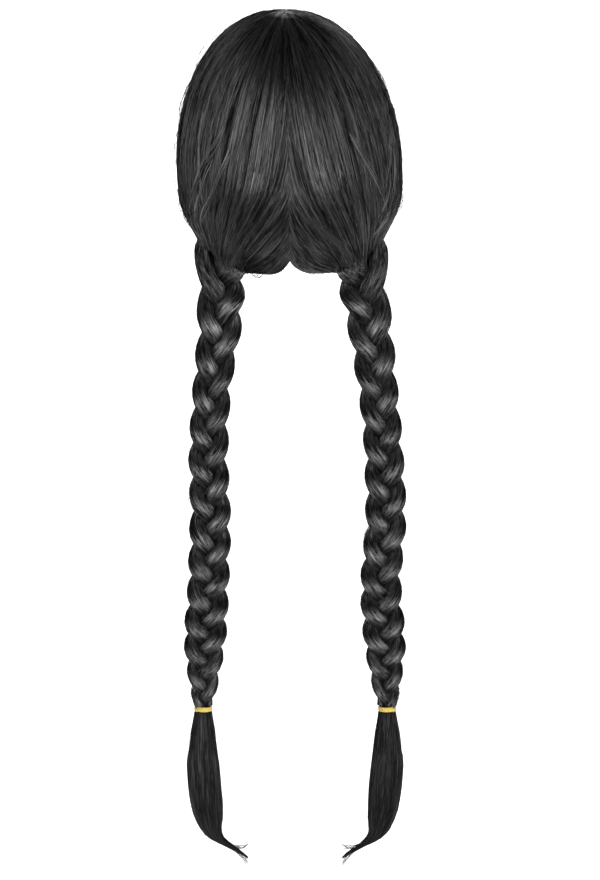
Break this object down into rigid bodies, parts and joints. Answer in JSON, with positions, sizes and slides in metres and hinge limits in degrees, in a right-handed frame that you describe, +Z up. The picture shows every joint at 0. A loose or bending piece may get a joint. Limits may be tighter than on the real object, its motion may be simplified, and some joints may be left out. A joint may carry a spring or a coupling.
{
  "type": "pigtail wig",
  "caption": "Long-haired wig on a cap: hair combed from a centre parting into a three-strand plait behind each ear, tied with elastics above loose tails.",
  "frame": {"origin": "the point inside the cap that sits on the crown of the head", "axes": "+Z up, the face towards -Y, the wearer's left towards +X"},
  "size_m": [0.1957, 0.188, 0.7287],
  "materials": {
    "hair": "smooth synthetic fibre with a soft sheen along the strands",
    "cap_net": "matt stretch net",
    "elastic": "satin"
  },
  "bodies": {
    "root": {"wig_cap": "cap_net", "side_hair_left": "hair", "back_hair_left": "hair", "nape_hair_left": "hair", "plait_left_strand_1": "hair", "plait_left_strand_2": "hair", "plait_left_strand_3": "hair", "elastic_left": "elastic", "tail_left": "hair", "side_hair_right": "hair", "back_hair_right": "hair", "nape_hair_right": "hair", "plait_right_strand_1": "hair", "plait_right_strand_2": "hair", "plait_right_strand_3": "hair", "elastic_right": "elastic", "tail_right": "hair"}
  },
  "joints": []
}
